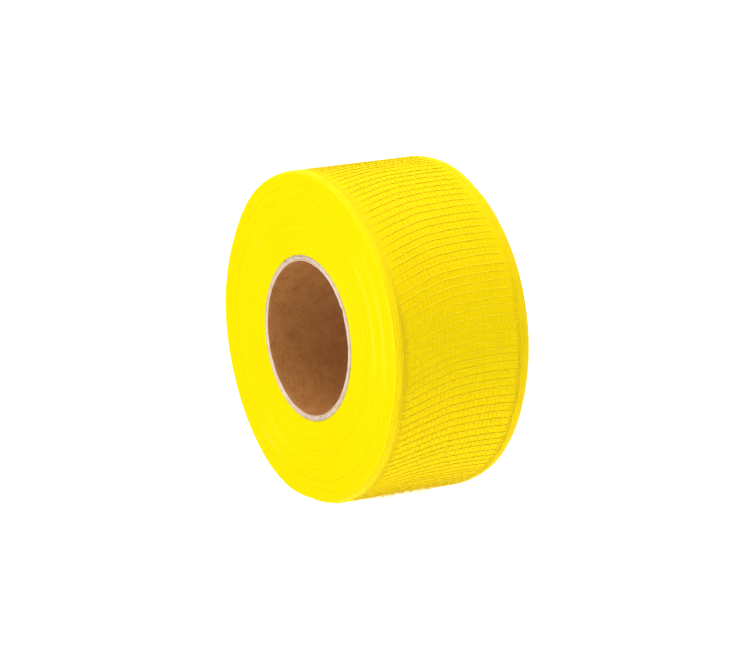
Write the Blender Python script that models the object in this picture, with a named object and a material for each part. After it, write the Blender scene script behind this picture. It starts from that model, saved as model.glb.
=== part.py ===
"""Roll of open-weave gauze grip tape on a spiral-wound paper core.

The roll stands on its rim. Its axis is Y, its near side faces -Y and +Z is up.
Angles are counted about the axis from +X towards +Z. The tape is wound so that
its free end comes over the top, down the +X side and stops just before the
bottom, at END_DEG. "Back" is the angle from that end along the tape towards
the core; it grows with the angle about the axis.

The pieces are four paper plies (each a helically wound strip that butts against
itself along a seam), the lap of tape that touches the core, the wound pack, the
last full lap, and the free quarter lap. Cloth bends everywhere, so the free
quarter lap is a chain of short stiff strips, each hinged to the one before it.
"""

import math

import bmesh
import bpy
from mathutils import Vector

MM = 0.001

# Paper core
BORE_RADIUS = 12.70 * MM  # 1 inch bore
CORE_LENGTH = 26.00 * MM
PLY_THICKNESS = 0.18 * MM
PLY_GAP = 0.05 * MM
PLY_PITCH = PLY_THICKNESS + PLY_GAP
PLY_FACETS = 48  # round one ply
PLY_ROWS = 20  # along the axis; the seam passes one facet per row
PLY_SEAM_DEG = 1.5  # width of the butt seam
PLIES = (  # from the bore outwards: name, material, seam angle at mid length
    ("core_liner_ply", "kraft_liner", 107.0),
    ("core_body_ply_inner", "chipboard", 262.0),
    ("core_body_ply_outer", "chipboard", 28.0),
    ("core_outer_ply", "grey_board", 196.0),
)
CORE_RADIUS = BORE_RADIUS + (len(PLIES) - 1) * PLY_PITCH + PLY_THICKNESS

# Tape
ROLL_RADIUS = 27.30 * MM  # at the free end, where the roll is thickest
TAPE_THICKNESS = 0.20 * MM
LAP_GAP = 0.05 * MM
LAP_PITCH = TAPE_THICKNESS + LAP_GAP  # radius lost in one turn back along the tape
HALF_WIDTH = 12.75 * MM
FACET_DEG = 5.0
LAP_FACETS = round(360.0 / FACET_DEG)

# Rounded rims of the roll
NEAR_SHOULDER = (1.20 * MM, 0.50 * MM)  # axial run, radial drop
FAR_SHOULDER = (2.00 * MM, 1.10 * MM)
SHOULDER_STOPS = (0.0, 30.0, 60.0, 90.0)  # degrees round the shoulder
PACK_STOPS = len(SHOULDER_STOPS)
LAP_STOPS = 3  # the last lap and the free end stop at 60 degrees

# First lap and pack
FIRST_LAP_RADIUS = CORE_RADIUS + LAP_GAP
FIRST_LAP_HALF_WIDTH = HALF_WIDTH - 0.25 * MM
FIRST_LAP_SEAM_DEG = 67.5
FIRST_LAP_GAP_DEG = 1.2
PACK_BORE_RADIUS = FIRST_LAP_RADIUS + LAP_PITCH
PACK_STEP_DEG = 0.6  # how far the pack's radial step stands past the last lap's inner end

# Free end
END_DEG = -77.5
SEGMENT_DEG = 10.0
SEGMENTS = 9
ROOT_BACK = SEGMENT_DEG * SEGMENTS  # where the free end leaves the last lap
CUT_GAP = 0.05 * MM  # between two neighbouring strips
HINGE_DISPLAY_SIZE = 2 * MM

# Resting flat, where the roll is pressed down under its own weight
BOTTOM_DEG = 270.0
FLAT_HALF_DEG = 7.5

# Mesh finish
SHARP_DEG = 30.0  # edges bent more than this are shaded sharp
FLAT_TOLERANCE_DEG = 0.2  # faces bent less than this are joined


# Scene and materials

def clear_scene():
    for obj in list(bpy.data.objects):
        bpy.data.objects.remove(obj, do_unlink=True)


def make_material(name, rgb, roughness):
    material = bpy.data.materials.new(name)
    material.use_nodes = True
    shader = material.node_tree.nodes["Principled BSDF"]
    shader.inputs["Base Color"].default_value = (*rgb, 1.0)
    shader.inputs["Roughness"].default_value = roughness
    shader.inputs["Metallic"].default_value = 0.0
    material.diffuse_color = (*rgb, 1.0)
    return material


def make_papers():
    """The core's materials, by name."""
    papers = (
        make_material("kraft_liner", rgb=(0.32, 0.155, 0.062), roughness=0.85),
        make_material("chipboard", rgb=(0.60, 0.47, 0.36), roughness=0.9),
        make_material("grey_board", rgb=(0.50, 0.45, 0.36), roughness=0.9),
    )
    return {paper.name: paper for paper in papers}


# Mesh helpers

def add_object(bm, name, material, hinge=None, pivot=(0.0, 0.0, 0.0)):
    """Turns the bmesh into an object; pivot is where its hinge, if any, stands."""
    bmesh.ops.recalc_face_normals(bm, faces=bm.faces[:])
    bmesh.ops.translate(bm, verts=bm.verts[:], vec=-Vector(pivot))
    mesh = bpy.data.meshes.new(name)
    bm.to_mesh(mesh)
    bm.free()
    mesh.materials.append(material)
    mesh.shade_smooth()
    mesh.set_sharp_from_angle(angle=math.radians(SHARP_DEG))
    obj = bpy.data.objects.new(name, mesh)
    bpy.context.scene.collection.objects.link(obj)
    obj.parent = hinge


def polar(radius, deg, y):
    angle = math.radians(deg)
    return Vector((radius * math.cos(angle), y, radius * math.sin(angle)))


def spin_round(bm, gap_deg, steps):
    """Turns everything once round the axis, short of the start by gap_deg."""
    bmesh.ops.spin(
        bm,
        geom=bm.verts[:] + bm.edges[:] + bm.faces[:],
        cent=(0, 0, 0),
        axis=(0, -1, 0),
        angle=math.radians(360.0 - gap_deg),
        steps=steps,
        use_duplicate=False,
    )


def bridge_rings(bm, rings):
    """Joins each ring of vertices to the next with quads."""
    for ring, following in zip(rings, rings[1:]):
        for i in range(len(ring)):
            k = (i + 1) % len(ring)
            bm.faces.new((ring[i], ring[k], following[k], following[i]))


def merge_flat(bm):
    """Splits skewed quads along their short diagonal, then joins what is flat."""
    bmesh.ops.triangulate(bm, faces=bm.faces[:], quad_method="SHORT_EDGE")
    bmesh.ops.dissolve_limit(
        bm,
        angle_limit=math.radians(FLAT_TOLERANCE_DEG),
        verts=bm.verts[:],
        edges=bm.edges[:],
        use_dissolve_boundaries=False,
    )


# Paper core

def add_core_ply(name, material, inner_radius, seam_deg):
    """A strip wound into a tube: its slanting edge, turned once round the axis."""
    facet_deg = (360.0 - PLY_SEAM_DEG) / PLY_FACETS
    bm = bmesh.new()
    rows = []
    for j in range(PLY_ROWS + 1):
        y = CORE_LENGTH * (j / PLY_ROWS - 0.5)
        deg = seam_deg + PLY_SEAM_DEG / 2 + facet_deg * (j - PLY_ROWS / 2)
        radii = (inner_radius, inner_radius + PLY_THICKNESS)
        rows.append([bm.verts.new(polar(radius, deg, y)) for radius in radii])
    for row, following in zip(rows, rows[1:]):
        bm.faces.new((row[0], row[1], following[1], following[0]))
    spin_round(bm, PLY_SEAM_DEG, PLY_FACETS)
    merge_flat(bm)
    add_object(bm, name, material)


def add_core():
    papers = make_papers()
    for i, (name, paper, seam_deg) in enumerate(PLIES):
        add_core_ply(name, papers[paper], BORE_RADIUS + i * PLY_PITCH, seam_deg)


# Shape of the wound tape

def shoulder(side, stops):
    """(y, radial drop) points along one rounded rim; side is -1 near, 1 far."""
    run, drop = NEAR_SHOULDER if side < 0 else FAR_SHOULDER
    points = []
    for stop_deg in SHOULDER_STOPS[:stops]:
        angle = math.radians(stop_deg)
        y = side * (HALF_WIDTH - run + run * math.sin(angle))
        points.append((y, drop * (1 - math.cos(angle))))
    return points


def outer_profile(stops):
    """The roll's outline across its width, from the near rim to the far one."""
    return shoulder(-1, stops)[::-1] + shoulder(1, stops)


def spiral_radius(back):
    return ROLL_RADIUS - LAP_PITCH * back / 360.0


def flat_level():
    """Distance from the axis down to the resting flat on the outer surface."""
    back = BOTTOM_DEG + FLAT_HALF_DEG - END_DEG
    return spiral_radius(back) * math.cos(math.radians(FLAT_HALF_DEG))


def on_spiral(back, y=0.0, drop=0.0, depth=0.0):
    """A point depth below the tape's outer surface, kept above the resting flat."""
    point = polar(spiral_radius(back) - drop - depth, END_DEG + back, y)
    point.z = max(point.z, -(flat_level() - depth))
    return point


def stations(start, stop):
    """Facet stations between two distances back, trimmed by half a cut gap each end."""
    trim = math.degrees(CUT_GAP / 2 / ROLL_RADIUS)
    count = round((stop - start) / FACET_DEG)
    between = [start + FACET_DEG * i for i in range(1, count)]
    return [start + trim] + between + [stop - trim]


def ribbon(start, stop):
    """A stretch of tape between two distances back, closed at both ends."""
    bm = bmesh.new()
    outline = outer_profile(LAP_STOPS)
    rings = []
    for back in stations(start, stop):
        top, under = (
            [bm.verts.new(on_spiral(back, y, drop, depth)) for y, drop in outline]
            for depth in (0.0, TAPE_THICKNESS)
        )
        rings.append(top + under[::-1])
    bridge_rings(bm, rings)
    for ring in (rings[0], rings[-1]):
        for i in range(len(outline) - 1):
            bm.faces.new((ring[i], ring[i + 1], ring[-2 - i], ring[-1 - i]))
    return bm


# Tape pieces

def add_first_lap(material):
    """The lap that grips the core, open at the cut where the tape begins."""
    bm = bmesh.new()
    inner, outer = FIRST_LAP_RADIUS, FIRST_LAP_RADIUS + TAPE_THICKNESS
    deg = FIRST_LAP_SEAM_DEG + FIRST_LAP_GAP_DEG / 2
    corners = ((inner, -1), (outer, -1), (outer, 1), (inner, 1))
    bm.faces.new([
        bm.verts.new(polar(radius, deg, side * FIRST_LAP_HALF_WIDTH))
        for radius, side in corners
    ])
    spin_round(bm, FIRST_LAP_GAP_DEG, LAP_FACETS)
    add_object(bm, "tape_first_lap", material)


def add_pack(material):
    """Every lap between the first and the last one, tight against each other."""
    bm = bmesh.new()
    outline = outer_profile(PACK_STOPS)
    lap_end = ROOT_BACK + 360.0
    step_end = lap_end + PACK_STEP_DEG
    backs = [ROOT_BACK + FACET_DEG * i for i in range(1, LAP_FACETS)]
    backs = [ROOT_BACK + PACK_STEP_DEG] + backs + [lap_end, step_end]
    rings = []
    for back in backs:
        deg = END_DEG + back
        # the last two stations share the radius of the inner end they lie under
        level = min(back, lap_end)
        ring = []
        for y, drop in outline:
            point = on_spiral(level, y, drop, LAP_PITCH)
            if back > level:
                point = polar(math.hypot(point.x, point.z), deg, y)
            ring.append(bm.verts.new(point))
        if back == step_end:
            # a full turn on, the bore's corners are those of the first station
            ring += rings[0][-2:]
        else:
            for y in (HALF_WIDTH, -HALF_WIDTH):
                ring.append(bm.verts.new(polar(PACK_BORE_RADIUS, deg, y)))
        rings.append(ring)
    bridge_rings(bm, rings)

    # the radial step between the last station and the first
    high, low = rings[0], rings[-1]
    far = len(outline) - 1
    for i in range(far):
        bm.faces.new((high[i], high[i + 1], low[i + 1], low[i]))
    bm.faces.new((high[0], low[0], high[-1]))
    bm.faces.new((high[far], high[-2], low[far]))
    add_object(bm, "tape_pack", material)


def add_last_lap(material):
    add_object(ribbon(ROOT_BACK, ROOT_BACK + 360.0), "tape_last_lap", material)


def add_hinge(name, parent, location):
    hinge = bpy.data.objects.new(name, None)
    hinge.empty_display_size = HINGE_DISPLAY_SIZE
    bpy.context.scene.collection.objects.link(hinge)
    hinge.parent = parent
    hinge.location = location
    return hinge


def add_free_end(material):
    """Strips from the last lap to the free end, each on a hinge of the chain."""
    hinge = None
    hinge_at = Vector((0.0, 0.0, 0.0))
    for n in range(1, SEGMENTS + 1):
        root = ROOT_BACK - SEGMENT_DEG * (n - 1)
        pivot = on_spiral(root)
        hinge = add_hinge(f"hinge_{n:02d}", hinge, pivot - hinge_at)
        hinge_at = pivot
        strip = ribbon(root - SEGMENT_DEG, root)
        add_object(strip, f"tape_tail_{n:02d}", material, hinge, pivot)


def build():
    clear_scene()
    add_core()
    gauze = make_material("gauze_yellow", rgb=(0.90, 0.72, 0.012), roughness=0.75)
    gauze_side = make_material("gauze_side_yellow", rgb=(0.93, 0.82, 0.015), roughness=0.6)
    add_first_lap(gauze)
    add_pack(gauze_side)
    add_last_lap(gauze)
    add_free_end(gauze)


build()
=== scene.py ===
"""Roll of open-weave gauze grip tape wound on a four-ply paper core.

The roll's axis is Y and it rests on a flat pressed into its underside, at -Z. "Near" is the
-Y side and "far" the +Y side. A place on the tape is given by `back`, degrees round the spiral
from the free end, by y, and by depth below the outer surface. Angles run from +X towards +Z.
Meshes are worked out in millimetres and built in metres.
"""

import math

import bmesh
import bpy
import numpy as np
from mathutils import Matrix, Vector


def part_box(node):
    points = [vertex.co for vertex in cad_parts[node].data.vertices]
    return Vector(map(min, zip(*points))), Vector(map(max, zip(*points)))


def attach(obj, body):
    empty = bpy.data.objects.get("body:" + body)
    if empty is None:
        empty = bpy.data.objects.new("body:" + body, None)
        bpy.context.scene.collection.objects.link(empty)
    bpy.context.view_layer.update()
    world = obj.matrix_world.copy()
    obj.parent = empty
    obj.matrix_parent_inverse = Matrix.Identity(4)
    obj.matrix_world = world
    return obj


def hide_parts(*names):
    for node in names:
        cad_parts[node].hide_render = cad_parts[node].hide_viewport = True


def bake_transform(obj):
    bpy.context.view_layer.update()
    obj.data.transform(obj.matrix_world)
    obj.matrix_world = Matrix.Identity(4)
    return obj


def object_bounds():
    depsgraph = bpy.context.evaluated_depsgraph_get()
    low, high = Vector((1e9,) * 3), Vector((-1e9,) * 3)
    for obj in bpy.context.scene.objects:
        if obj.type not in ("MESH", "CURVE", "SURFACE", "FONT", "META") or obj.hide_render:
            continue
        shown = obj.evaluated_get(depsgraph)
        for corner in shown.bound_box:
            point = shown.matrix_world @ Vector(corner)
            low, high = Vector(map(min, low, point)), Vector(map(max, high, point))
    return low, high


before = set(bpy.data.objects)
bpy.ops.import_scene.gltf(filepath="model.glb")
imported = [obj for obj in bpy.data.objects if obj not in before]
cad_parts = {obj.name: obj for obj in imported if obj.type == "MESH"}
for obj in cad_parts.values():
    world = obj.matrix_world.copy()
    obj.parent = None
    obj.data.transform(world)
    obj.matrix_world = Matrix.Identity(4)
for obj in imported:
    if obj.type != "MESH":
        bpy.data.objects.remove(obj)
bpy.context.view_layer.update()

MM = 0.001

# ---------------------------------------------------------------- dimensions
# They repeat the frame's: the spiral, its rims and its joints.
lap_lo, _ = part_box("tape_last_lap")
pack_lo, pack_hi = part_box("tape_pack")
HALF_W = (pack_hi.y - pack_lo.y) / 2 / MM  # half the tape's width
FLAT = -lap_lo.z / MM  # flat below the axis
FLAT_EASE = 0.1  # height over which the outline turns into the flat
ROLL_R = 27.30
PITCH = 0.08  # pressed laps sink into each other; the frame keeps its sheets apart
END = -77.5  # angle of the free end
SEG = 10.0  # degrees between the tail's joints
SEGMENTS = 9
ROOT = SEG * SEGMENTS  # where the tail leaves the roll, degrees back
NEAR_RIM = (1.20, 0.50)  # rounded rims: run along y, drop of the radius
FAR_RIM = (2.00, 1.10)
NEAR_RIM_Y = -(HALF_W - NEAR_RIM[0])  # where the rims begin
FAR_RIM_Y = HALF_W - FAR_RIM[0]

LAPS = 2  # laps built as yarns
TURN = 360.0
DEG_MM = math.radians(1.0) * ROLL_R  # mm of tape per degree
TURN_MM = TURN * DEG_MM
LENGTH = LAPS * TURN * DEG_MM

# yarns
WARP_PITCH = 0.82
WEFT_PITCH = 2 * math.pi * ROLL_R / 121.5
WARP_SIZE = (0.073, 0.038)  # half width, half height
EDGE_SIZE = (0.080, 0.052)  # of the warps packed along the edges
WEFT_SIZE = (0.120, 0.036)
YARN_SIDES = 4
CRIMP = 0.025
DEPTH = 0.14  # of the middle of a lap below the roll's outer surface
BED = 0.19  # depth of the wound bed, in which the second lap is half sunk
EDGE_NEAR = -(HALF_W - 0.07)  # outermost warps
EDGE_FAR = HALF_W - 0.09

# where the outer laps leave a true circle: angle, width in degrees, height in mm
BULGES = (
    (126, 24, 0.34),
    (176, 20, 0.26),
    (246, 20, 0.44),
    (257, 6, 0.10),
    (133, 14, 0.20),
    (66, 8, -0.17),
    (50, 14, -0.12),
    (-15, 16, -0.10),
    (-62, 8, -0.12),
)
SAG = (265.0, 6.0, 0.20)  # the flat's sag, in the same columns


# ------------------------------------------------------------ shape of the roll
def ease(t):
    return t * t * (3 - 2 * t)


def bell(x):
    return np.exp(-(x**2))


def angle_off(deg, at):
    """Signed angle from at to deg, -180 to 180."""
    return (np.asarray(deg, float) - at + 180.0) % 360.0 - 180.0


def spiral_r(back):
    return ROLL_R - PITCH * back / 360.0


def drop_at(y):
    """Fall of the outline over the two rounded rims."""
    y = np.asarray(y, float)
    out = np.zeros_like(y)
    for side, (run, drop) in ((-1, NEAR_RIM), (1, FAR_RIM)):
        t = np.clip((side * y - (HALF_W - run)) / run, 0, 0.999)
        out = out + drop * (1 - np.sqrt(1 - t * t))
    return out


def out_of_round(deg):
    """How far the outer laps stand off a true circle: fuller on the -X side."""
    deg = np.asarray(deg, float)
    out = np.zeros_like(deg)
    for at, width, height in BULGES:
        out = out + height * bell(angle_off(deg, at) / width)
    return out


def flat_at(deg):
    """How far below the axis the flat lies: it sags a little towards -X."""
    at, width, height = SAG
    return FLAT + height * bell(angle_off(deg, at) / width)


def place(back, y, depth):
    """Points in mm from places on the tape."""
    back, y, depth = np.broadcast_arrays(
        np.asarray(back, float), np.asarray(y, float), np.asarray(depth, float)
    )
    r = spiral_r(back) - drop_at(y) - depth + out_of_round(END + back)
    angle = np.radians(END + back)
    # the clamp at the flat is eased so that no crease shows where it begins
    bottom = -(flat_at(END + back) - depth)
    above = r * np.sin(angle) - bottom
    eased = (above + FLAT_EASE) ** 2 / (4 * FLAT_EASE)
    soft = np.where(above > FLAT_EASE, above, np.where(above < -FLAT_EASE, 0.0, eased))
    return np.stack([r * np.cos(angle), y, bottom + soft], -1)


def radial(back):
    angle = np.radians(END + np.asarray(back, float))
    return np.stack([np.cos(angle), np.zeros_like(angle), np.sin(angle)], -1)


def smooth_noise(count, scale, seed):
    """Smooth one-dimensional noise, about -1 to 1, with features scale samples long."""
    rng = np.random.default_rng(seed)
    knots = rng.normal(0, 1, int(count / scale) + 4)
    x = np.arange(count) / scale + 1
    i = np.floor(x).astype(int)
    f = ease(x - i)
    return knots[i] * (1 - f) + knots[i + 1] * f


# ------------------------------------------------------------------ mesh code
def add_object(name, data):
    obj = bpy.data.objects.new(name, data)
    bpy.context.scene.collection.objects.link(obj)
    return obj


def new_mesh(name, verts, quads, mats, caps=(), quad_mats=None):
    """A smooth mesh from arrays: verts in mm, quads (n, 4), caps a list of corner loops."""
    verts = np.asarray(verts, np.float32) * MM
    quads = np.asarray(quads, np.int32).reshape(-1, 4)
    caps = [np.asarray(c, np.int32) for c in caps]
    sizes = np.concatenate([np.full(len(quads), 4), [len(c) for c in caps]]).astype(np.int32)
    loops = np.concatenate([quads.ravel()] + caps).astype(np.int32)
    starts = np.concatenate([[0], np.cumsum(sizes)[:-1]]).astype(np.int32)
    mesh = bpy.data.meshes.new(name)
    mesh.vertices.add(len(verts))
    mesh.vertices.foreach_set("co", verts.ravel())
    mesh.loops.add(len(loops))
    mesh.loops.foreach_set("vertex_index", loops)
    mesh.polygons.add(len(sizes))
    mesh.polygons.foreach_set("loop_start", starts)
    mesh.update(calc_edges=True)
    mesh.validate()
    mesh.polygons.foreach_set("use_smooth", np.ones(len(mesh.polygons), bool))
    for mat in mats:
        mesh.materials.append(mat)
    # validate may drop bad faces, and the indices would then no longer match
    if quad_mats is not None and len(mesh.polygons) == len(sizes):
        mesh.polygons.foreach_set("material_index", quad_mats.astype(np.int32))
    return add_object(name, mesh)


def point_attribute(mesh, label, values):
    attribute = mesh.attributes.new(label, "FLOAT", "POINT")
    attribute.data.foreach_set("value", values.reshape(-1).astype(np.float32))


def sharpen(mesh, loops):
    """Marks the edges of the vertex loops sharp, so that end caps don't shade the sides."""

    def code(pairs):
        return pairs.min(1).astype(np.int64) * len(mesh.vertices) + pairs.max(1)

    rims = np.concatenate([np.stack([c, np.roll(c, -1)], -1) for c in loops])
    edges = np.empty(len(mesh.edges) * 2, np.int32)
    mesh.edges.foreach_get("vertices", edges)
    attribute = mesh.attributes.new("sharp_edge", "BOOLEAN", "EDGE")
    attribute.data.foreach_set("value", np.isin(code(edges.reshape(-1, 2)), code(rims)))


class Yarns:
    """Collects yarn tubes for one piece."""

    def __init__(self):
        self.verts, self.quads, self.caps, self.count = [], [], [], 0
        self.tone, self.edge = [], []

    def add(self, rings, tone, edge):
        """One tube from rings (stations, sides, 3); edge holds a value for each station."""
        stations, sides = rings.shape[:2]
        idx = self.count + np.arange(stations * sides).reshape(stations, sides)
        nxt = np.roll(idx, -1, axis=1)
        self.quads.append(np.stack([idx[:-1], nxt[:-1], nxt[1:], idx[1:]], -1).reshape(-1, 4))
        self.caps.append(idx[0][::-1].copy())
        self.caps.append(idx[-1].copy())
        self.verts.append(rings.reshape(-1, 3))
        self.tone.append(np.full(stations * sides, tone))
        self.edge.append(np.repeat(edge, sides))
        self.count += stations * sides

    def build(self, name, mat):
        verts, quads = np.concatenate(self.verts), np.concatenate(self.quads)
        obj = new_mesh(name, verts, quads, (mat,), self.caps)
        sharpen(obj.data, self.caps)
        point_attribute(obj.data, "tone", np.concatenate(self.tone))
        point_attribute(obj.data, "edge", np.concatenate(self.edge))
        return obj


def tube_rings(path, up, half_w, half_h):
    """Rings of an elliptical tube along path, flat side towards up."""
    along = np.gradient(path, axis=0)
    along /= np.linalg.norm(along, axis=1, keepdims=True) + 1e-12
    across = np.cross(along, up)
    across /= np.linalg.norm(across, axis=1, keepdims=True) + 1e-12
    normal = np.cross(across, along)
    phi = np.arange(YARN_SIDES) * 2 * math.pi / YARN_SIDES
    return (
        path[:, None]
        + across[:, None] * half_w[:, None, None] * np.cos(phi)[None, :, None]
        + normal[:, None] * half_h[:, None, None] * np.sin(phi)[None, :, None]
    )


# ---------------------------------------------------------- layout of the weave
def bow(y):
    """How far a weft lags towards the free end, in mm, most at the near edge."""
    v = (np.asarray(y, float) + HALF_W) / (2 * HALF_W)
    pulled = 3.4 * np.clip((0.47 - v) / 0.47, 0, 1) ** 1.6
    return pulled + 0.35 * np.sin(np.clip(v, 0, 1) * 6.0 + 0.4)


def selvedge(start, way, packed, until):
    """Warps from one edge inwards: packed as far as until, then ever further apart."""
    out, y, pitch = [], start, packed
    while pitch < WARP_PITCH * 0.92:
        out.append(y)
        slope = float(drop_at(y + way * 0.01) - drop_at(y)) / 0.01
        y += way * pitch / math.sqrt(1 + slope**2)
        if (y - until) * way > 0:
            pitch *= 1.42
    return out, y


def warp_places():
    """y of every warp, and the indices of the first inner and the first far edge warp."""
    near, first = selvedge(EDGE_NEAR, way=1, packed=0.132, until=NEAR_RIM_Y + 0.10)
    far, last = selvedge(EDGE_FAR, way=-1, packed=0.150, until=FAR_RIM_Y + 0.10)
    count = int(round((last - first) / WARP_PITCH))
    rng = np.random.default_rng(77)
    inner = np.linspace(first, last, count + 1)
    inner = inner + 0.05 * WARP_PITCH * rng.normal(size=count + 1)
    return np.concatenate([near, inner, far[::-1]]), len(near), len(near) + len(inner)


warp_y, first_inner, first_far = warp_places()
warp_ids = np.arange(len(warp_y))

# weft stations along the tape, in mm back from the free end
n_weft = int(LENGTH / WEFT_PITCH) + 6
weft_ids = np.arange(n_weft)
weft_s = WEFT_PITCH * weft_ids - 4.2
weft_s += 0.055 * WEFT_PITCH * np.random.default_rng(101).normal(size=n_weft)
weft_s += 0.14 * WEFT_PITCH * smooth_noise(n_weft, 9, 103)
# one turn is a whole number of wefts and a half, so that the wefts of two laps
# lie between each other, but for a stretch where they fall in line
IN_LINE = TURN + 66.0
weft_s += 0.5 * WEFT_PITCH * bell((weft_s / DEG_MM - IN_LINE) / 12.0)
# slow changes of the bow along the tape, so that crossing laps beat against each other
bow_gain = 1 + 0.05 * smooth_noise(n_weft, 22, 105)
skew = 0.22 * smooth_noise(n_weft, 30, 107)


def weft_curve(j, y):
    """Place of weft j at y, in mm back from the free end."""
    v = (np.asarray(y, float) + HALF_W) / (2 * HALF_W) - 0.5
    return weft_s[j] - bow(y) * bow_gain[j] + skew[j] * v


def cut_line(y):
    """The cut at the free end: nearly straight, a little ragged."""
    return 1.9 + 0.5 * np.sin(np.asarray(y) * 0.31 + 0.7)


def edge_share(y):
    """1 on the near pressed edge of the tape, -1 on the far one, 0 on the open cloth."""
    near = (NEAR_RIM_Y + 0.25 - np.asarray(y)) / 0.85
    far = (np.asarray(y) - FAR_RIM_Y + 0.15) / 0.6
    return ease(np.clip(near, 0, 1)) - ease(np.clip(far, 0, 1))


def free_lift(back, y):
    """The cut end stands a little off the lap below it, most near the middle."""
    share = np.exp(-np.clip(back - 3.5, 0, None) / 3.0)
    rise = np.clip((y + 5.2) / 0.6, 0, 1)
    fall = np.clip((9.0 - y) / 6.0, 0, 1)
    return share * (0.05 + 0.27 * rise * ease(fall))


# Pieces from the inner end of the yarns to the free end, and the cuts between them in
# degrees back. Tail pieces are cut halfway between the joints.
PIECES = ["lap2", "lap1"] + ["tail%02d" % (k + 1) for k in range(SEGMENTS)] + ["tail_end"]
CUTS = [TURN, ROOT + 2.0] + [ROOT - SEG * (k + 0.5) for k in range(SEGMENTS)]

# laps keep warps and wefts apart; a tail piece holds both in one bag
warp_bags = {piece: Yarns() for piece in PIECES}
weft_bags = {p: Yarns() if p.startswith("lap") else warp_bags[p] for p in PIECES}


def piece_of(back):
    for piece, cut in zip(PIECES, CUTS):
        if back > cut:
            return piece
    return PIECES[-1]


def cut_tracks(tracks, cut):
    """Adds a point to all tracks of a yarn wherever the first of them, back, passes cut."""
    sign = np.sign(tracks[0] - cut)
    for i in np.nonzero(sign[:-1] * sign[1:] < 0)[0][::-1]:
        back = tracks[0]
        f = (cut - back[i]) / (back[i + 1] - back[i])
        tracks = [np.insert(a, i + 1, a[i] + f * (a[i + 1] - a[i])) for a in tracks]
        tracks[0][i + 1] = cut
    return tracks


def add_yarn(bags, tracks, tone):
    """Splits one yarn at the cuts and stores its tubes.

    The tracks are back, y, height above the lap's middle, half width and half height.
    """
    for cut in CUTS:
        tracks = cut_tracks(tracks, cut)
    back, y, height, half_w, half_h = tracks
    path = place(back, y, DEPTH - height - free_lift(back, y))
    rings = tube_rings(path, radial(back), half_w, half_h)
    edge = edge_share(y)
    pieces = [piece_of(middle) for middle in (back[:-1] + back[1:]) / 2]
    start = 0
    for i in range(1, len(pieces) + 1):
        if i == len(pieces) or pieces[i] != pieces[start]:
            bags[pieces[start]].add(rings[start : i + 1], tone, edge[start : i + 1])
            start = i


def weave_warp(i):
    """One warp, running along the tape."""
    on_edge = i < first_inner or i >= first_far
    rng = np.random.default_rng(1000 + i)
    cut = cut_line(warp_y[i])
    s = np.concatenate(
        [
            np.arange(cut - rng.uniform(0.3, 1.7), TURN_MM, 0.36),
            np.arange(TURN_MM + 0.2, LENGTH, 0.42),
        ]
    )
    wander = 0.02 if on_edge else 0.05
    y = warp_y[i] + wander * smooth_noise(len(s), 26, 2000 + i)
    if on_edge:
        # one lap's edge warps lie in the grooves between those of the next
        way = 1 if i < first_inner else -1
        shift = ease(np.clip((s / DEG_MM - 95.0) / 230.0, 0, 1))
        y += way * 0.5 * min(abs(warp_y[i + way] - warp_y[i]), 0.42) * shift
    j = np.interp(s, weft_curve(weft_ids, warp_y[i]), weft_ids)
    height = CRIMP * np.cos(math.pi * (j + i)) * (0.5 if on_edge else 1.0)
    # beyond the cut line a warp end is free, and springs out
    spring = 0.03 if on_edge else rng.uniform(0.05, 0.40)
    height += spring * np.clip(cut - s, 0, 2)
    swell = 1 + 0.13 * smooth_noise(len(s), 9, 3000 + i)
    half_w, half_h = [size * swell for size in (EDGE_SIZE if on_edge else WARP_SIZE)]
    # a frayed end tapers
    half_w[:2] *= (0.45, 0.8)
    half_h[:2] *= (0.45, 0.8)
    add_yarn(warp_bags, [s / DEG_MM, y, height, half_w, half_h], rng.uniform(-1, -0.3))


WEFT_YS = np.arange(EDGE_NEAR - 0.03, EDGE_FAR + 0.03, 0.205)


def weave_weft(j):
    """One weft, running across the tape."""
    rng = np.random.default_rng(5000 + j)
    y = WEFT_YS + rng.uniform(-0.03, 0.03)
    count = len(y)
    s = weft_curve(j, y) + 0.035 * smooth_noise(count, 7, 6000 + j)
    i = np.interp(y, warp_y, warp_ids)
    # the crimp is weaker among the edge warps
    quiet = np.clip((y - warp_y[first_inner]) * 3 + 1, 0.25, 1) * np.clip(
        (warp_y[first_far - 1] - y) * 3 + 1, 0.25, 1
    )
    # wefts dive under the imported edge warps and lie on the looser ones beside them
    loose = np.clip(np.minimum(y - EDGE_NEAR - 1.35, EDGE_FAR - 2.0 - y) / 0.6, 0, 1)
    height = -CRIMP * np.cos(math.pi * (j + i)) * quiet
    height += 0.020 * loose * (1 - quiet) - 0.045 * (1 - loose)
    swell = 1 + 0.15 * smooth_noise(count, 8, 7000 + j) + 0.10 * rng.normal()
    swell = np.clip(swell, 0.6, 1.5)
    tracks = [s / DEG_MM, y, height, WEFT_SIZE[0] * swell, WEFT_SIZE[1] * swell]
    tone = rng.uniform(0.0, 1.0)
    # only the stretches that lie on the tape
    inside = (s > cut_line(y)) & (s < LENGTH)
    ends = np.flatnonzero(np.diff(np.concatenate([[0], inside.astype(int), [0]])))
    for start, stop in ends.reshape(-1, 2):
        if stop - start > 2:
            add_yarn(weft_bags, [track[start:stop] for track in tracks], tone)


for i in warp_ids:
    weave_warp(i)
for j in weft_ids:
    weave_weft(j)


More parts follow.
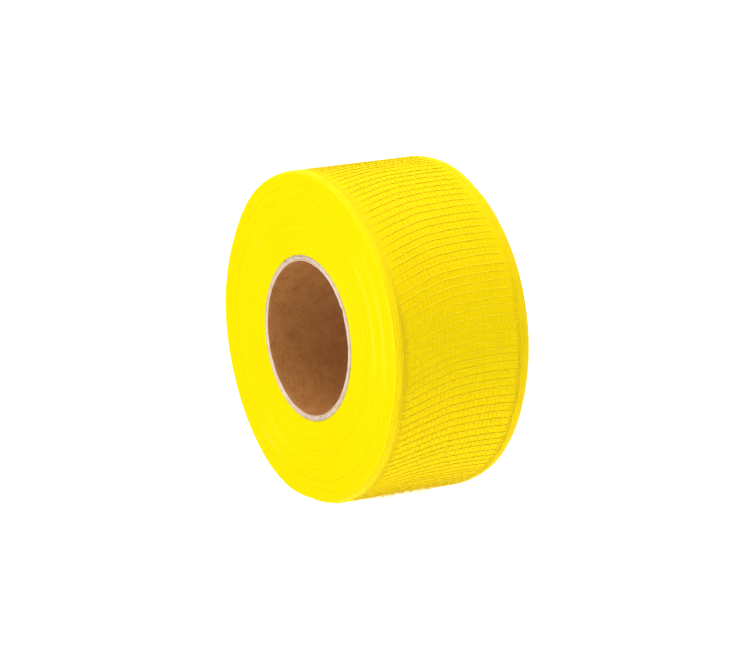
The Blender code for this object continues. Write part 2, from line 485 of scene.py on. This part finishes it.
# ------------------------------------------------------------------ materials
class Nodes:
    """A small helper that strings shader nodes together."""

    def __init__(self, name):
        self.mat = bpy.data.materials.new(name)
        self.mat.use_nodes = True
        self.tree = self.mat.node_tree
        self.shader = self.tree.nodes["Principled BSDF"]

    def node(self, kind, **values):
        node = self.tree.nodes.new(kind)
        for key, value in values.items():
            setattr(node, key, value)
        return node

    def feed(self, socket, value):
        """Links a socket to an output or sets its value; a colour may lack its alpha."""
        if isinstance(value, bpy.types.NodeSocket):
            self.tree.links.new(value, socket)
        elif isinstance(value, tuple):
            socket.default_value = (*value, 1.0)
        else:
            socket.default_value = value

    def math(self, operation, *values):
        node = self.node("ShaderNodeMath", operation=operation)
        for socket, value in zip(node.inputs, values):
            self.feed(socket, value)
        return node.outputs[0]

    def scaled(self, value, times, plus):
        return self.math("MULTIPLY_ADD", value, times, plus)

    def weigh(self, first, first_part, second, second_part):
        """The sum of two values, each times its part."""
        return self.scaled(first, first_part, self.math("MULTIPLY", second, second_part))

    def noise(self, at, scale, detail, rough, dims="3D"):
        node = self.node("ShaderNodeTexNoise", noise_dimensions=dims)
        self.feed(node.inputs["W" if dims == "1D" else "Vector"], at)
        node.inputs["Scale"].default_value = scale
        node.inputs["Detail"].default_value = detail
        node.inputs["Roughness"].default_value = rough
        return node.outputs["Fac"]

    def coords(self, stretch=(1, 1, 1)):
        """Object coordinates, stretched."""
        source = self.node("ShaderNodeTexCoord")
        mapping = self.node("ShaderNodeMapping")
        mapping.inputs["Scale"].default_value = stretch
        self.feed(mapping.inputs["Vector"], source.outputs["Object"])
        return mapping.outputs["Vector"]

    def mix(self, share, under, over):
        """The colour under where share is 0, over where it is 1."""
        node = self.node("ShaderNodeMix", data_type="RGBA")
        self.feed(node.inputs[0], share)
        self.feed(node.inputs[6], under)
        self.feed(node.inputs[7], over)
        return node.outputs[2]

    def span(self, value, lo, hi, to_lo=0.0, to_hi=1.0):
        node = self.node("ShaderNodeMapRange")
        self.feed(node.inputs["Value"], value)
        node.inputs["From Min"].default_value = lo
        node.inputs["From Max"].default_value = hi
        node.inputs["To Min"].default_value = to_lo
        node.inputs["To Max"].default_value = to_hi
        return node.outputs["Result"]

    def attribute(self, name):
        return self.node("ShaderNodeAttribute", attribute_name=name).outputs["Fac"]

    def bump(self, height, strength, distance):
        node = self.node("ShaderNodeBump")
        node.inputs["Strength"].default_value = strength
        node.inputs["Distance"].default_value = distance
        self.feed(node.inputs["Height"], height)
        self.feed(self.shader.inputs["Normal"], node.outputs["Normal"])

    def done(self, color, rough, specular, sheen=0.0, tint=(1, 1, 1)):
        self.feed(self.shader.inputs["Base Color"], color)
        self.feed(self.shader.inputs["Roughness"], rough)
        self.shader.inputs["Sheen Weight"].default_value = sheen
        self.shader.inputs["Sheen Roughness"].default_value = 0.5
        self.shader.inputs["Sheen Tint"].default_value = (*tint, 1.0)
        self.shader.inputs["Specular IOR Level"].default_value = specular
        return self.mat


def yarn_material():
    """Yellow yarn: each one has its tone, and the pressed edges are stronger in colour."""
    n = Nodes("gauze_yarn")
    tone = n.span(n.attribute("tone"), lo=-1.0, hi=1.0)
    fine = n.noise(n.coords(), scale=5200.0, detail=3.0, rough=0.6)
    slow = n.noise(n.coords(), scale=190.0, detail=2.0, rough=0.5)
    light = n.weigh(tone, 0.45, slow, 0.55)
    color = n.mix(light, under=(0.850, 0.632, 0.001), over=(0.868, 0.692, 0.003))
    fibre = n.span(fine, lo=0.3, hi=0.75, to_lo=0.0, to_hi=0.3)
    color = n.mix(fibre, under=color, over=(0.890, 0.720, 0.007))
    edge = n.attribute("edge")
    color = n.mix(n.span(edge, lo=0.0, hi=1.0), under=color, over=(0.945, 0.735, 0.002))
    color = n.mix(n.span(edge, lo=0.0, hi=-1.0), under=color, over=(0.930, 0.690, 0.0005))
    n.bump(fine, strength=0.4, distance=0.00003)
    return n.done(color, rough=0.5, specular=0.04, sheen=0.06, tint=(1.0, 0.97, 0.6))


def side_material():
    """The stacked edges of the laps: smooth, waxy, with faint rings and streaks of painted sheen.
    """
    n = Nodes("gauze_wound_side")
    at = n.coords()
    split = n.node("ShaderNodeSeparateXYZ")
    n.feed(split.inputs[0], at)
    x, z = split.outputs["X"], split.outputs["Z"]
    r = n.math("SQRT", n.math("ADD", n.math("MULTIPLY", x, x), n.math("MULTIPLY", z, z)))
    # the rings follow the radius, bent a little
    warp = n.noise(at, scale=60.0, detail=2.0, rough=0.5)
    ring_at = n.scaled(warp, times=0.0006, plus=r)
    ring = n.noise(ring_at, scale=1900.0, detail=3.0, rough=0.65, dims="1D")
    fine = n.noise(at, scale=4200.0, detail=3.0, rough=0.6)
    cloud = n.noise(at, scale=110.0, detail=3.0, rough=0.5)
    light = n.span(n.weigh(ring, 0.7, cloud, 0.3), lo=0.3, hi=0.7)
    color = n.mix(light, under=(0.740, 0.602, 0.0016), over=(0.755, 0.632, 0.0024))
    # painted sheen: paler arcs streaked across the side, standing in for a soft highlight
    sheen_streak_arc = n.noise(ring_at, scale=650.0, detail=2.0, rough=0.5, dims="1D")
    sheen_streak_patch = n.noise(at, scale=55.0, detail=1.0, rough=0.5)
    pale = n.math("MULTIPLY", n.span(sheen_streak_arc, lo=0.52, hi=0.66), n.span(sheen_streak_patch, lo=0.52, hi=0.64))
    color = n.mix(n.math("MULTIPLY", pale, 0.7), under=color, over=(0.760, 0.660, 0.018))
    grain = n.span(fine, lo=0.35, hi=0.8, to_lo=0.0, to_hi=0.12)
    color = n.mix(grain, under=color, over=(0.73, 0.56, 0.001))
    n.bump(n.weigh(ring, 0.6, fine, 0.4), strength=0.35, distance=0.00005)
    return n.done(color, rough=0.6, specular=0.0, tint=(1.0, 0.95, 0.5))


def bed_material():
    """The wound laps below the two open ones: their weave, seen close together."""
    n = Nodes("gauze_bed")
    weft_u = n.attribute("weft_u")
    warp_u = n.attribute("warp_u")

    def line(value, width):
        """One soft-edged thread for each whole step of value."""
        off = n.math("ABSOLUTE", n.math("SUBTRACT", n.math("FRACT", value), 0.5))
        return n.span(off, lo=width, hi=width + 0.16, to_lo=1.0, to_hi=0.0)

    # a second, fainter weave lies a little out of step with the first; drawing it fainter is
    # painted shade of its depth
    weft = line(weft_u, width=0.09)
    weft_below = line(n.scaled(weft_u, times=0.93, plus=0.37), width=0.07)
    warp = line(warp_u, width=0.11)
    warp_below = line(n.scaled(warp_u, times=1.07, plus=0.23), width=0.09)
    above = n.math("MAXIMUM", weft, warp)
    below = n.math("MULTIPLY", n.math("MAXIMUM", weft_below, warp_below), 0.6)
    thread = n.math("MAXIMUM", above, below)
    rim = n.attribute("rim")
    thread = n.math("MAXIMUM", thread, n.math("ABSOLUTE", rim))
    grain = n.noise(n.coords(), scale=2500.0, detail=3.0, rough=0.6)
    # painted shade: the ground between the drawn threads is darker, as shade in the gaps between
    # yarns
    color = n.mix(thread, under=(0.855, 0.631, 0.001), over=(0.876, 0.665, 0.002))
    for rim_full in (1.0, -1.0):
        share = n.span(rim, lo=0.0, hi=rim_full)
        color = n.mix(share, under=color, over=(0.925, 0.690, 0.001))
    dull = n.span(grain, lo=0.3, hi=0.8, to_lo=0.0, to_hi=0.2)
    color = n.mix(dull, under=color, over=(0.85, 0.622, 0.001))
    n.bump(n.weigh(thread, 0.8, grain, 0.2), strength=0.6, distance=0.00008)
    return n.done(color, rough=0.75, specular=0.02, tint=(1.0, 0.93, 0.5))


def kraft_material():
    """Brown liner paper: pressed fibres and dark flecks."""
    n = Nodes("kraft_liner")
    coarse = n.noise(n.coords(), scale=420.0, detail=4.0, rough=0.6)
    fibre = n.noise(n.coords(stretch=(1.0, 3.2, 1.0)), scale=1500.0, detail=4.0, rough=0.65)
    fleck = n.noise(n.coords(stretch=(1.4, 0.8, 1.4)), scale=2600.0, detail=2.0, rough=0.5)
    light = n.span(coarse, lo=0.32, hi=0.68)
    color = n.mix(light, under=(0.320, 0.122, 0.026), over=(0.415, 0.182, 0.048))
    pale = n.span(fibre, lo=0.45, hi=0.75, to_lo=0.0, to_hi=0.5)
    color = n.mix(pale, under=color, over=(0.57, 0.285, 0.093))
    dark = n.span(fleck, lo=0.62, hi=0.78, to_lo=0.0, to_hi=0.6)
    color = n.mix(dark, under=color, over=(0.26, 0.10, 0.03))
    n.bump(n.weigh(fibre, 0.6, coarse, 0.4), strength=0.4, distance=0.00006)
    return n.done(color, rough=0.7, specular=0.3)


def board_material(name, dark, light, speck):
    """Raw board: two mottled colours and specks of a third."""
    n = Nodes(name)
    coarse = n.noise(n.coords(), scale=800.0, detail=4.0, rough=0.65)
    fine = n.noise(n.coords(stretch=(1.0, 2.0, 1.0)), scale=5200.0, detail=3.0, rough=0.6)
    color = n.mix(n.span(coarse, lo=0.3, hi=0.7), under=dark, over=light)
    specks = n.span(fine, lo=0.6, hi=0.85, to_lo=0.0, to_hi=0.5)
    color = n.mix(specks, under=color, over=speck)
    n.bump(n.weigh(fine, 0.5, coarse, 0.5), strength=0.5, distance=0.00006)
    return n.done(color, rough=0.85, specular=0.25)


mat_yarn = yarn_material()
mat_side = side_material()
mat_bed = bed_material()
mat_kraft = kraft_material()
mat_board = board_material(
    "chipboard_ply", dark=(0.62, 0.46, 0.36), light=(0.80, 0.65, 0.54), speck=(0.42, 0.29, 0.19)
)
mat_grey = board_material(
    "grey_board_ply", dark=(0.42, 0.36, 0.26), light=(0.60, 0.53, 0.40), speck=(0.26, 0.21, 0.13)
)
mat_cut = board_material(
    "kraft_cut_edge", dark=(0.60, 0.43, 0.32), light=(0.76, 0.60, 0.47), speck=(0.40, 0.26, 0.16)
)

# ------------------------------------------------------------- gauze pieces
ROOT_BLEND = 1.4  # mm of tape from the root to the end of the root piece's span


def build_laps():
    for piece in ("lap2", "lap1"):
        for kind, bags in (("warps", warp_bags), ("wefts", weft_bags)):
            obj = bags[piece].build("gauze_%s_%s" % (piece, kind), mat_yarn)
            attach(obj, "root")
    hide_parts("tape_last_lap")


def build_tail():
    """A piece across each joint, then the end that rides on the last one."""
    for number in range(1, SEGMENTS + 1):
        passed = number - 1
        if number == 1:
            name, parent = "gauze_tail_root", "root"
            start, end = ROOT, ROOT - ROOT_BLEND / DEG_MM
        else:
            name, parent = "gauze_tail_bend_%02d" % number, "tail_%02d" % passed
            # the span of the first piece starts at its hinge
            lead = 0.05 if passed == 1 else 0.5
            start, end = ROOT - SEG * (passed - lead), ROOT - SEG * (passed + 0.5)
        obj = warp_bags["tail%02d" % number].build(name, mat_yarn)
        tuple(place(start, 0.0, 0.0) * MM)
        tuple(place(end, 0.0, 0.0) * MM)
        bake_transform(obj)
        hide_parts("tape_tail_%02d" % number)
    obj = warp_bags["tail_end"].build("gauze_tail_end", mat_yarn)
    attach(obj, "tail_%02d" % SEGMENTS)
    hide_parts("tape_tail_%02d" % SEGMENTS)


build_laps()
build_tail()

# ------------------------------------------------------------- wound laps
SIDE_PITCH = 0.172  # thickness of one pressed lap
SIDE_STATIONS = 240  # round the roll
LAP_COUNT = 90
# places over a rounded rim, from its outermost (-1) to where it begins (0)
RIM_STEPS = np.array([-1.0, -0.985, -0.95, -0.90, -0.83, -0.74, -0.62, -0.48, -0.3, -0.1])

# each lap's offset out of the side, and its wobble round the turn
lap_rng = np.random.default_rng(311)
lap_off = 0.016 * lap_rng.normal(size=LAP_COUNT) + 0.030 * smooth_noise(LAP_COUNT, 3.5, 312)
lap_phase = lap_rng.uniform(0, 2 * math.pi, LAP_COUNT)
lap_wobble = 0.014 * lap_rng.normal(size=LAP_COUNT)


def side_relief(r, deg, lap_shift):
    """How far the edge of each lap stands out of the side, in mm."""
    coord = (r - 13.8) / SIDE_PITCH + deg / 360.0 + lap_shift
    lap = np.floor(coord).astype(int) % LAP_COUNT
    f = coord - np.floor(coord)
    angle = np.radians(deg)

    def offset(i):
        return lap_off[i] + lap_wobble[i] * np.sin(angle + lap_phase[i])

    before = offset((lap - 1) % LAP_COUNT)
    round_edge = 0.026 * (np.sin(math.pi * f) ** 0.7)
    return round_edge + before + (offset(lap) - before) * np.clip(f / 0.25, 0, 1)


def wound_profile(radii, outer):
    """Section of a wound ring as kinds and values: a radius on the sides, y elsewhere."""
    across = np.linspace(-HALF_W, HALF_W, 8)
    if outer:
        near_rim = NEAR_RIM_Y + RIM_STEPS * NEAR_RIM[0]
        middle = np.linspace(NEAR_RIM_Y + 0.1, FAR_RIM_Y - 0.1, 66)
        far_rim = FAR_RIM_Y - RIM_STEPS[::-1] * FAR_RIM[0]
        over = ("top", np.concatenate([near_rim, middle, far_rim]))
    else:
        over = ("cap", across[1:-1])
    parts = (("near", radii), over, ("far", radii[::-1]), ("bore", across[::-1][1:-1]))
    kinds = np.concatenate([np.full(len(values), kind, "<U4") for kind, values in parts])
    return kinds, np.concatenate([values for _, values in parts])


def wound_solid(name, r_low, r_high, outer):
    """A ring of wound tape: its section turned about the axis."""
    deg = np.linspace(0, 360, SIDE_STATIONS, endpoint=False)  # back from the free end
    radii = np.arange(r_low, r_high, SIDE_PITCH / 4)
    kinds, values = wound_profile(radii, outer)
    back, value = np.meshgrid(deg, values, indexing="ij")
    kind = np.broadcast_to(kinds, back.shape)
    spiral = spiral_r(back)
    bed_r = spiral - BED
    # packed edges stand higher, and leave room for one lap more under the free end
    under = ease(np.clip((ROOT + 24.0 - back) / 24.0, 0, 1))
    rise = BED - 0.15 - 0.11 * under

    # cap and bore
    r = np.where(kind == "bore", r_low, radii[-1])
    y = value.copy()

    # top: into is 1 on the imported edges, 0 on the open bed
    near_in = (NEAR_RIM_Y + 2.8 - value) / 2.2
    far_in = (value - FAR_RIM_Y + 1.9) / 1.6
    into = ease(np.clip(np.maximum(near_in, far_in), 0, 1))
    fall = drop_at(value)
    # shallower still between the edge warps that begin to part
    parted = bell((value + HALF_W - 2.35) / 0.75) + bell((HALF_W - 2.75 - value) / 0.85)
    on_top = kind == "top"
    r[on_top] = (bed_r + rise * into + 0.05 * parted * under - fall)[on_top]
    skin = spiral - fall

    for side, key, drop, lap_shift in (
        (-1, "near", NEAR_RIM[1], 0),
        (1, "far", FAR_RIM[1], 7),
    ):
        on_side = kind == key
        rim_r = bed_r + rise - drop
        side_r = value
        if outer:
            # the radii stretch a little so that they meet the rim
            side_r = r_low + (value - r_low) / (radii[-1] - r_low) * (rim_r - r_low)
        dish = 0.19 * np.clip((18.0 - side_r) / 4.3, 0, 1) ** 1.5
        fade = np.clip((rim_r - side_r) / 0.3, 0.2, 1)
        relief = side_relief(side_r, back, lap_shift) * fade
        r[on_side] = side_r[on_side]
        y[on_side] = (side * (HALF_W - 0.03 + dish + relief))[on_side]
        skin[on_side] = (spiral - drop)[on_side]

    # out of round and flattened, less so towards the core
    depth = skin - np.minimum(r, skin)
    r = r + out_of_round(END + back) * np.clip((r - 13.9) / 13.0, 0, 1) ** 1.5
    angle = np.radians(END + back)
    z = r * np.sin(angle)
    z = np.where(r > 20.5, np.maximum(z, -(flat_at(END + back) - depth)), z)
    points = np.stack([r * np.cos(angle), y, z], -1).reshape(-1, 3)

    idx = np.arange(back.size).reshape(back.shape)
    nxt = np.roll(idx, -1, 1)
    quads = np.stack([idx, nxt, np.roll(nxt, -1, 0), np.roll(idx, -1, 0)], -1).reshape(-1, 4)
    bed = on_top & (np.roll(kind, -1, 1) == "top")
    obj = new_mesh(name, points, quads, (mat_side, mat_bed), quad_mats=bed.reshape(-1))
    obj.data.set_sharp_from_angle(angle=math.radians(70))
    # yarn counts along and across the tape, for the bed's material
    s = back * DEG_MM
    weft_u = (s + bow(y) + 0.35 * np.sin(s * 0.11)) / WEFT_PITCH
    point_attribute(obj.data, "weft_u", weft_u)
    point_attribute(obj.data, "warp_u", y / WARP_PITCH + 0.25 * np.sin(s * 0.05))
    point_attribute(obj.data, "rim", into * np.sign(-y))
    return obj


wound_in = wound_solid("wound_laps_inner", r_low=13.62, r_high=20.08, outer=False)
wound_out = wound_solid("wound_laps_outer", r_low=20.06, r_high=26.3, outer=True)
for obj in (wound_in, wound_out):
    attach(obj, "root")
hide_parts("tape_pack")
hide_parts("tape_first_lap")

# ------------------------------------------------------------- paper core
PLY = 0.18  # thickness
PLY_GAP = 0.004  # each face stands back this far from its neighbour
PLY_SLIT = 1.5  # degrees open at the seam
PLY_LEAN = (360.0 - PLY_SLIT) * 20 / 48  # degrees the seam turns over the length
PLY_STATIONS, PLY_ROWS = 200, 30
BEVEL_RUN, BEVEL_DROP = 0.07, 0.045


def ply(name, node, seam, mats, notch):
    """A slit tube with a slanting seam, at angle seam halfway along."""
    seed = int(seam)
    lo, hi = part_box(node)
    r_out = hi.x / MM
    length = (hi.y - lo.y) / MM
    rows_y = np.linspace(-length / 2, length / 2, PLY_ROWS + 1)
    bevel_y = [-length / 2 + BEVEL_RUN, length / 2 - BEVEL_RUN]
    rows_y = np.insert(rows_y, [1, PLY_ROWS], bevel_y)
    rows = len(rows_y) - 1
    bevel = np.zeros(rows + 1)
    bevel[[0, -1]] = BEVEL_DROP
    u = np.linspace(0, 1, PLY_STATIONS + 1)
    share, y = np.meshgrid(u, rows_y, indexing="ij")
    deg = seam + PLY_LEAN * (y / length) + PLY_SLIT / 2 + share * (360.0 - PLY_SLIT)
    angle = np.radians(deg)

    # a pressed and sawn end isn't quite flat; the near one may be notched at the seam
    near_end = 0.018 * smooth_noise(len(u), 2.2, seed) + 0.02 * smooth_noise(
        len(u), 14, seed + 1
    )
    near_end += notch * bell(np.minimum(u, 1 - u) * (360 - PLY_SLIT) / 1.5)
    far_end = 0.018 * smooth_noise(len(u), 2.2, seed + 2)
    y[:, :2] += near_end[:, None]
    y[:, -2:] -= far_end[:, None]

    def face(r):
        return np.stack([r * np.cos(angle), y, r * np.sin(angle)], -1)

    outside = face(r_out - PLY_GAP - bevel)
    inside = face(r_out - PLY + PLY_GAP + bevel)[:, ::-1]
    ring = np.concatenate([outside, inside], 1)
    n, k = ring.shape[:2]
    idx = np.arange(n * k).reshape(n, k)
    nxt = np.roll(idx, -1, 1)
    quads = np.stack([idx[:-1], idx[1:], nxt[1:], nxt[:-1]], -1).reshape(-1, 4)
    # the bevels and ends show the cut paper, and so do the walls of the slit
    column = np.tile(np.arange(k), n - 1)
    cut = np.isin(column, (0, rows - 1, rows, rows + 1, k - 2, k - 1))
    walls = []
    for loop, flip in ((idx[0], False), (idx[-1], True)):
        for i in range(rows):
            corners = [loop[i], loop[i + 1], loop[k - 2 - i], loop[k - 1 - i]]
            walls.append(corners[::-1] if flip else corners)
    quads = np.concatenate([quads, np.array(walls)])
    quad_mats = np.concatenate([cut.astype(np.int32), np.ones(len(walls), np.int32)])
    obj = new_mesh(name, ring.reshape(-1, 3), quads, mats, quad_mats=quad_mats)
    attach(obj, "root")
    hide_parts(node)
    return obj


# name, frame node, seam angle, (face, cut) materials, slot, notch depth
for name, node, seam, mats, slot, notch in (
    ("core_liner", "core_liner_ply", 107.0, (mat_kraft, mat_cut), "kraft_liner", 0.18),
    ("core_body_in", "core_body_ply_inner", 262.0, (mat_board, mat_board), "chipboard", 0.0),
    ("core_body_out", "core_body_ply_outer", 28.0, (mat_board, mat_board), "chipboard", 0.0),
    ("core_outer", "core_outer_ply", 196.0, (mat_grey, mat_grey), "grey_board", 0.0),
):
    ply(name, node, seam, mats, notch)


# ------------------------------------------------------------- stage
def build_floor():
    """A white, faintly glowing floor under the roll."""
    rest_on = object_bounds()[0][2]
    mesh = bpy.data.meshes.new("floor")
    bm = bmesh.new()
    bmesh.ops.create_grid(bm, x_segments=2, y_segments=2, size=4.0)
    bm.to_mesh(mesh)
    bm.free()
    floor = add_object("floor", mesh)
    floor.location.z = rest_on
    n = Nodes("floor_white")
    mesh.materials.append(n.done((0.38, 0.38, 0.38), rough=0.9, specular=0.0))
    n.shader.inputs["Emission Color"].default_value = (1, 1, 1, 1)
    n.shader.inputs["Emission Strength"].default_value = 1.07


def build_world():
    """An even white room, darker towards +X, the side it is looked at from."""
    world = bpy.data.worlds.new("studio")
    bpy.context.scene.world = world
    world.use_nodes = True
    nodes, links = world.node_tree.nodes, world.node_tree.links
    ground = nodes["Background"]
    ground.inputs["Color"].default_value = (1, 1, 1, 1)
    ray = nodes.new("ShaderNodeNewGeometry")
    toward = nodes.new("ShaderNodeVectorMath")
    toward.operation = "DOT_PRODUCT"
    toward.inputs[1].default_value = (-0.94, 0.15, -0.30)  # away from the dark side
    links.new(ray.outputs["Incoming"], toward.inputs[0])
    dim = nodes.new("ShaderNodeMapRange")
    dim.interpolation_type = "SMOOTHSTEP"
    dim.inputs["From Min"].default_value = 0.0
    dim.inputs["From Max"].default_value = 1.0
    dim.inputs["To Min"].default_value = 0.76
    dim.inputs["To Max"].default_value = 0.13
    links.new(toward.outputs["Value"], dim.inputs["Value"])
    # the camera itself sees plain white behind the floor's far edge
    path = nodes.new("ShaderNodeLightPath")
    seen = nodes.new("ShaderNodeMath")
    seen.operation = "MAXIMUM"
    links.new(dim.outputs["Result"], seen.inputs[0])
    links.new(path.outputs["Is Camera Ray"], seen.inputs[1])
    links.new(seen.outputs[0], ground.inputs["Strength"])


def area_light(name, at, size, power):
    """A square light aimed at the origin; metres and watts."""
    data = bpy.data.lights.new(name, "AREA")
    data.shape = "SQUARE"
    data.size = size
    data.energy = power
    obj = add_object(name, data)
    obj.location = at
    obj.rotation_euler = (-Vector(at)).to_track_quat("-Z", "Y").to_euler()


def build_camera(azimuth, elevation, distance, shift_right, shift_up, lens):
    """A camera on the +X, -Y side; degrees from -Y towards +X, and mm."""
    az, el = math.radians(azimuth), math.radians(elevation)
    to_camera = Vector(
        (math.sin(az) * math.cos(el), -math.cos(az) * math.cos(el), math.sin(el))
    )
    right = (-to_camera).cross(Vector((0, 0, 1))).normalized()
    up = right.cross(-to_camera)
    data = bpy.data.cameras.new("camera")
    data.sensor_width = 36.0
    data.lens = lens
    data.clip_start = 0.01
    data.clip_end = 20.0
    obj = add_object("camera", data)
    obj.location = (to_camera * distance + right * shift_right + up * shift_up) * MM
    obj.rotation_euler = (-to_camera).to_track_quat("-Z", "Y").to_euler()
    bpy.context.scene.camera = obj


build_floor()
build_world()
area_light("key", at=(0.18, -0.47, 0.58), size=0.9, power=4.0)
area_light("top", at=(-0.08, 0.05, 0.75), size=0.95, power=5.4)
build_camera(
    azimuth=58.40, elevation=13.45, distance=790.0, shift_right=-0.05, shift_up=-0.40, lens=231.744
)
bpy.context.scene.view_settings.view_transform = "Standard"
